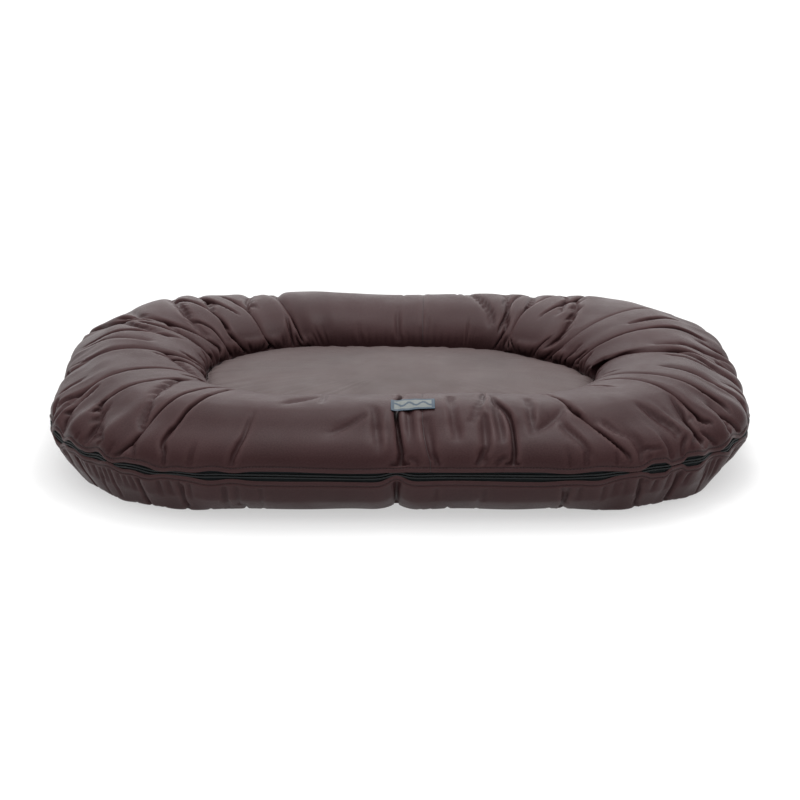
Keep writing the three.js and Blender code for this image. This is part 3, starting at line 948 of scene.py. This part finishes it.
def make_stitches(name, edge, stands_for):
    """A row of lockstitches along a hem, each a short rounded thread."""
    count = round(ROUND / STITCH_PITCH)
    middle = (np.arange(count) + 0.5) * ROUND / count
    ends = [  # share of the stitch's length, radius and lift in mm
        (-0.5, 0.12, -0.45), (-0.38, 0.34, 0.0), (0.0, 0.36, 0.2), (0.38, 0.34, 0.0), (0.5, 0.12, -0.45),
    ]
    sides = 6
    rings = []
    for along, radius, lift in ends:
        s = middle + along * STITCH_LONG
        for k in range(sides):
            angle = 2 * math.pi * k / sides
            inset = (0.5 - 0.3 * lift - radius * math.cos(angle)) * MM
            z = edge * (STITCH_IN + radius * MM * math.sin(angle))
            rings.append(zip_ring(s, inset, z, edge=edge))
    points = np.stack(rings, 1).reshape(count, len(ends), sides, 3)
    faces = []
    quads = grid_faces(len(ends), sides)
    caps = [list(range(sides))[::-1], [(len(ends) - 1) * sides + k for k in range(sides)]]
    if edge > 0:
        quads = quads[:, ::-1]
        caps = [c[::-1] for c in caps]
    for index in range(count):
        base = index * len(ends) * sides
        faces += (quads + base).tolist()
        faces += [[base + k for k in cap] for cap in caps]
    piece = new_piece(name, points, faces, cover_thread, slot="cover_thread")
    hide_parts(stands_for)


def zip_span(from_x, to_x, step):
    """Distances round the bed from one place on the straight rear to another, the long way."""
    start = ROUND / 2 - from_x
    end = ROUND / 2 - to_x
    if end <= start:
        end += ROUND
    return np.linspace(start, end, round((end - start) / step))


def strip_piece(name, s, profile, look, stands_for, ripple=None, **kind):
    """A closed bar along the zip, from a closed profile of (inset, height, hem) points."""
    rows = [zip_ring(s, inset, z, edge) for inset, z, edge in profile]
    grid = np.stack(rows, 1)
    if ripple is not None:
        middle = grid.mean(1, keepdims=True)
        grid = middle + (grid - middle) * ripple[:, None, None]
    length, sides = grid.shape[:2]
    flat = np.zeros((length, sides, 3))
    flat[..., 0] = s[:, None]
    flat[..., 1] = np.arange(sides)[None] * 2 * MM
    piece = new_piece(name, grid, bar_faces(length, sides), look, flat.reshape(-1, 3), **kind)
    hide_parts(stands_for)


def make_zip():
    tape_s = zip_span(ZIP_END_X - 1 * MM, ZIP_END_X + 1 * MM, 5 * MM)
    inner = TAPE_INSET + 0.7 * MM
    for name, side in (("upper", 1), ("lower", -1)):
        top = side * (TAPE_TOP - HALF_BAND - 2 * MM)
        profile = [
            (TAPE_INSET, side * 0.7 * MM, 0), (TAPE_INSET, top, side),
            (inner, top, side), (inner, side * 0.7 * MM, 0),
        ]
        strip_piece(
            name + "_tape", tape_s, profile[::side], zip_tape, name + "_zip_tape", slot="zip_tape"
        )
    low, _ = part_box("zip_bottom_stop")
    _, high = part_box("zip_top_stop_upper")
    coil_s = zip_span(low.x - 0.3 * MM, high.x + 0.3 * MM, 0.62 * MM)
    teeth = 0.86 + 0.14 * np.cos(2 * math.pi * coil_s / (1.9 * MM))
    middle_in = (COIL_OUT + TAPE_INSET - 0.4 * MM) / 2
    half_in = (TAPE_INSET - 0.4 * MM - COIL_OUT) / 2
    near, far = 0.5 * MM, COIL_TOP
    for name, side in (("upper", 1), ("lower", -1)):
        angles = np.arange(8) * math.pi / 4 + math.pi / 8
        profile = [
            (
                middle_in - half_in * math.cos(a),
                side * ((near + far) / 2 + (far - near) / 2 * math.sin(a)),
                0,
            )
            for a in angles
        ]
        strip_piece(
            name + "_coil", coil_s, profile[::side], zip_coil, name + "_zip_coil", teeth, slot="zip_coil"
        )


def make_fittings():
    """The zip's metal pieces keep their CAD shapes, with their edges eased."""
    for name in (
        "zip_slider", "zip_pull", "zip_top_stop_upper", "zip_top_stop_lower", "zip_bottom_stop",
    ):
        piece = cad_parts[name]
        piece.data.materials.clear()
        piece.data.materials.append(zip_metal)
        ease = piece.modifiers.new("ease", "BEVEL")
        ease.width = 0.25 * MM
        ease.segments = 2
        ease.limit_method = "ANGLE"
        ease.angle_limit = math.radians(40)


def make_end_tab():
    """The folded cloth tab over the ends of the zip's tapes."""
    rows, count = 15, 15
    a = np.linspace(-1, 1, count)
    centre = (tab_low + tab_high) / 2
    half = (tab_high - tab_low) / 2
    x, z = np.meshgrid(a, a)
    swell = (1 - x**6) * (1 - z**6)
    stitch = np.exp(-((np.maximum(abs(x), abs(z)) - 0.74) ** 2) / 0.006)
    outer = centre.y + half.y * (0.35 + 0.65 * swell - 0.3 * stitch)
    front = np.stack([centre.x + half.x * x, outer, centre.z + half.z * z], -1)
    back = np.stack([centre.x + half.x * x, np.full_like(x, tab_low.y), centre.z + half.z * z], -1)
    points = np.concatenate([front.reshape(-1, 3), back.reshape(-1, 3)])
    quads = grid_faces(rows, count, 0, count - 1, closed=False)
    faces = quads[:, ::-1].tolist() + (quads + rows * count).tolist()
    rim = (
        list(range(count - 1))
        + [r * count + count - 1 for r in range(rows - 1)]
        + [(rows - 1) * count + c for c in range(count - 1, 0, -1)]
        + [r * count for r in range(rows - 1, 0, -1)]
    )
    for one, two in zip(rim, rim[1:] + rim[:1]):
        faces.append([one, one + rows * count, two + rows * count, two][::-1])
    piece = new_piece("end_tab", points, faces, cover_cloth, points, slot="cover_cloth")
    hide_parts("zip_end_tab")


LABEL_FRONT_IN = 5 * MM  # the label is this much shorter than its CAD stand-in, front and rear
LABEL_REAR_IN = 8 * MM
LABEL_OVER = 0.9 * MM


def make_label(cloth):
    """A woven label on the front's crest, with a plain border and a wavy pattern."""
    tall, wide = 27, 41
    rows, count = cloth.shape[:2]
    faces = grid_faces(rows, count).tolist()
    tree = BVHTree.FromPolygons([tuple(p) for p in cloth.reshape(-1, 3)], faces)
    x = np.linspace(label_low.x, label_high.x, wide)
    y = np.linspace(label_low.y + LABEL_FRONT_IN, label_high.y - LABEL_REAR_IN, tall)
    high = np.empty((tall, wide))
    for i in range(tall):
        for j in range(wide):
            spot = tree.ray_cast(Vector((x[j], y[i], 0.4)), Vector((0, 0, -1)))[0]
            high[i, j] = spot.z
    cloth_high = high.copy()
    for _ in range(60):
        pad = np.pad(high, 1, mode="edge")
        ring = pad[:-2, 1:-1] + pad[2:, 1:-1] + pad[1:-1, :-2] + pad[1:-1, 2:]
        high = np.maximum(ring / 4, cloth_high)
    grid = np.stack([*np.meshgrid(x, y), high + LABEL_OVER], -1)
    quads = grid_faces(tall, wide, 0, wide - 1, closed=False)
    places = np.zeros((tall, wide, 3))
    places[..., 0], places[..., 1] = x[None] - x[0], y[:, None] - y[0]
    piece = new_piece("woven_label", grid, quads, [label_blue, label_pale], places.reshape(-1, 3))
    for polygon, (row, column) in zip(
        piece.data.polygons, ((r, c) for r in range(tall - 1) for c in range(wide - 1))
    ):
        across, up = column / (wide - 2), row / (tall - 2)
        inside = 0.06 < across < 0.94 and 0.13 < up < 0.87
        wave = abs(up - 0.5 - 0.16 * math.sin(across * 19)) < 0.09
        polygon.material_index = 1 if inside and not wave else 0
    thicken(piece, 0.6 * MM)
    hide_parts("label")


def make_cushions():
    """The liners and their filling, out of sight inside the covers."""
    count = 98
    s = round_places(count)
    top = bolster_form(17, count)
    side = lower_form(5, count)
    inner_low, inner_high = mat_ring(s, 4 * MM), mat_ring(s, MAT_TOP - 20 * MM)
    section = np.concatenate([side[::-1], top[:-1], inner_high[None], inner_low[None]])
    middle = section.mean(0, keepdims=True)
    for name, share, look, slot in (
        ("bolster_liner", 0.78, liner_cloth, "liner_cloth"),
        ("bolster_fill", 0.765, fibre_fill, "fibre_fill"),
    ):
        rows = list(middle + (section - middle) * share)
        piece = ring_piece(name + "_ring", rows, look, slot=slot)
        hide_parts(name)
    for name, inset, top_z, low_z, look, slot in (
        ("mat_liner", 9, MAT_TOP - 6 * MM, 4 * MM, liner_cloth, "liner_cloth"),
        ("mat_fill", 11, MAT_TOP - 8 * MM, 6 * MM, fibre_fill, "fibre_fill"),
    ):
        edge = mat_ring(s, 0.0)
        length = np.linalg.norm(edge[:, :2], axis=1)[:, None]
        rows = []
        for share, z in ((0.03, top_z), (0.6, top_z), (0.97, top_z - 3 * MM), (1, top_z - 12 * MM),
                         (1, low_z + 10 * MM), (0.97, low_z), (0.03, low_z)):
            row = edge.copy()
            row[:, :2] *= share * (1 - inset * MM / length)
            row[:, 2] = z
            rows.append(row)
        piece = new_piece(name + "_slab", np.stack(rows), bar_faces(len(rows), count), look, slot=slot)
        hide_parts(name)


cloth, upper_grid = make_bolster()
make_lower_cover()
make_panel_seams(upper_grid)
make_mat(upper_grid.shape[1])
make_mat_seam(upper_grid.shape[1] // 2)
make_stitches("upper_stitches", 1, "upper_hem_thread")
make_stitches("lower_stitches", -1, "lower_hem_thread")
make_zip()
make_fittings()
make_end_tab()
make_label(cloth)
make_cushions()


# ---------- stage ----------

ELEVATION = 17.0  # degrees
DISTANCE = 2.7
LOOK_AT = Vector((0, 0, 5.4 * CM))
LENS = 81.9  # mm
FLOOR_HALF = 30.0
FLOOR_SHADE = 0.38
FLOOR_GLOW = 0.52  # keeps the floor white and its shadows pale
SKY_LEAST = 0.02
SKY_UP = 2.3
SKY_BACK = 1.75


def add_camera():
    data = bpy.data.cameras.new("camera")
    data.lens = LENS
    camera = bpy.data.objects.new("camera", data)
    bpy.context.scene.collection.objects.link(camera)
    tilt = math.radians(ELEVATION)
    away = Vector((0, -math.cos(tilt), math.sin(tilt)))
    camera.location = LOOK_AT + away * DISTANCE
    camera.rotation_euler = (math.pi / 2 - tilt, 0, 0)
    bpy.context.scene.camera = camera


def add_light(name, place, size, power):
    """A softbox that looks at the bed."""
    data = bpy.data.lights.new(name, "AREA")
    data.shape = "RECTANGLE"
    data.size, data.size_y = size
    data.energy = power
    light = bpy.data.objects.new(name, data)
    light.location = place
    look = Vector((0, 0, 0.08)) - Vector(place)
    light.rotation_euler = look.to_track_quat("-Z", "Y").to_euler()
    bpy.context.scene.collection.objects.link(light)


def add_floor():
    half = FLOOR_HALF
    corners = [(-half, -half, 0), (half, -half, 0), (half, half, 0), (-half, half, 0)]
    mesh = bpy.data.meshes.new("floor")
    mesh.from_pydata(corners, [], [(0, 1, 2, 3)])
    floor = bpy.data.objects.new("floor", mesh)
    bpy.context.scene.collection.objects.link(floor)
    white = Look("floor", (FLOOR_SHADE,) * 3, Roughness=0.9, Emission_Strength=FLOOR_GLOW)
    white.shader.inputs["Emission Color"].default_value = (1, 1, 1, 1)
    mesh.materials.append(white.material)


def add_sky():
    """A studio's light: bright overhead and on the backdrop, dim behind the camera."""
    world = bpy.data.worlds.new("world")
    world.use_nodes = True
    tree = world.node_tree
    place = tree.nodes.new("ShaderNodeTexCoord")
    parts = tree.nodes.new("ShaderNodeSeparateXYZ")
    tree.links.new(place.outputs["Generated"], parts.inputs[0])
    total = SKY_LEAST
    for axis, brightness in (("Z", SKY_UP), ("Y", SKY_BACK)):
        value = parts.outputs[axis]
        for operation, number in (("MAXIMUM", 0.0), ("POWER", 2.0), ("MULTIPLY_ADD", brightness)):
            step = tree.nodes.new("ShaderNodeMath")
            step.operation = operation
            step.inputs[1].default_value = number
            tree.links.new(value, step.inputs[0])
            value = step.outputs[0]
        if isinstance(total, float):
            step.inputs[2].default_value = total
        else:
            tree.links.new(total, step.inputs[2])
        total = value
    background = tree.nodes["Background"]
    background.inputs["Color"].default_value = (1, 1, 1, 1)
    tree.links.new(total, background.inputs["Strength"])
    bpy.context.scene.world = world


add_camera()
add_floor()
add_sky()
add_light("key", (0.25, 0.55, 2.1), (0.7, 0.7), 15)
bpy.context.scene.view_settings.view_transform = "Standard"
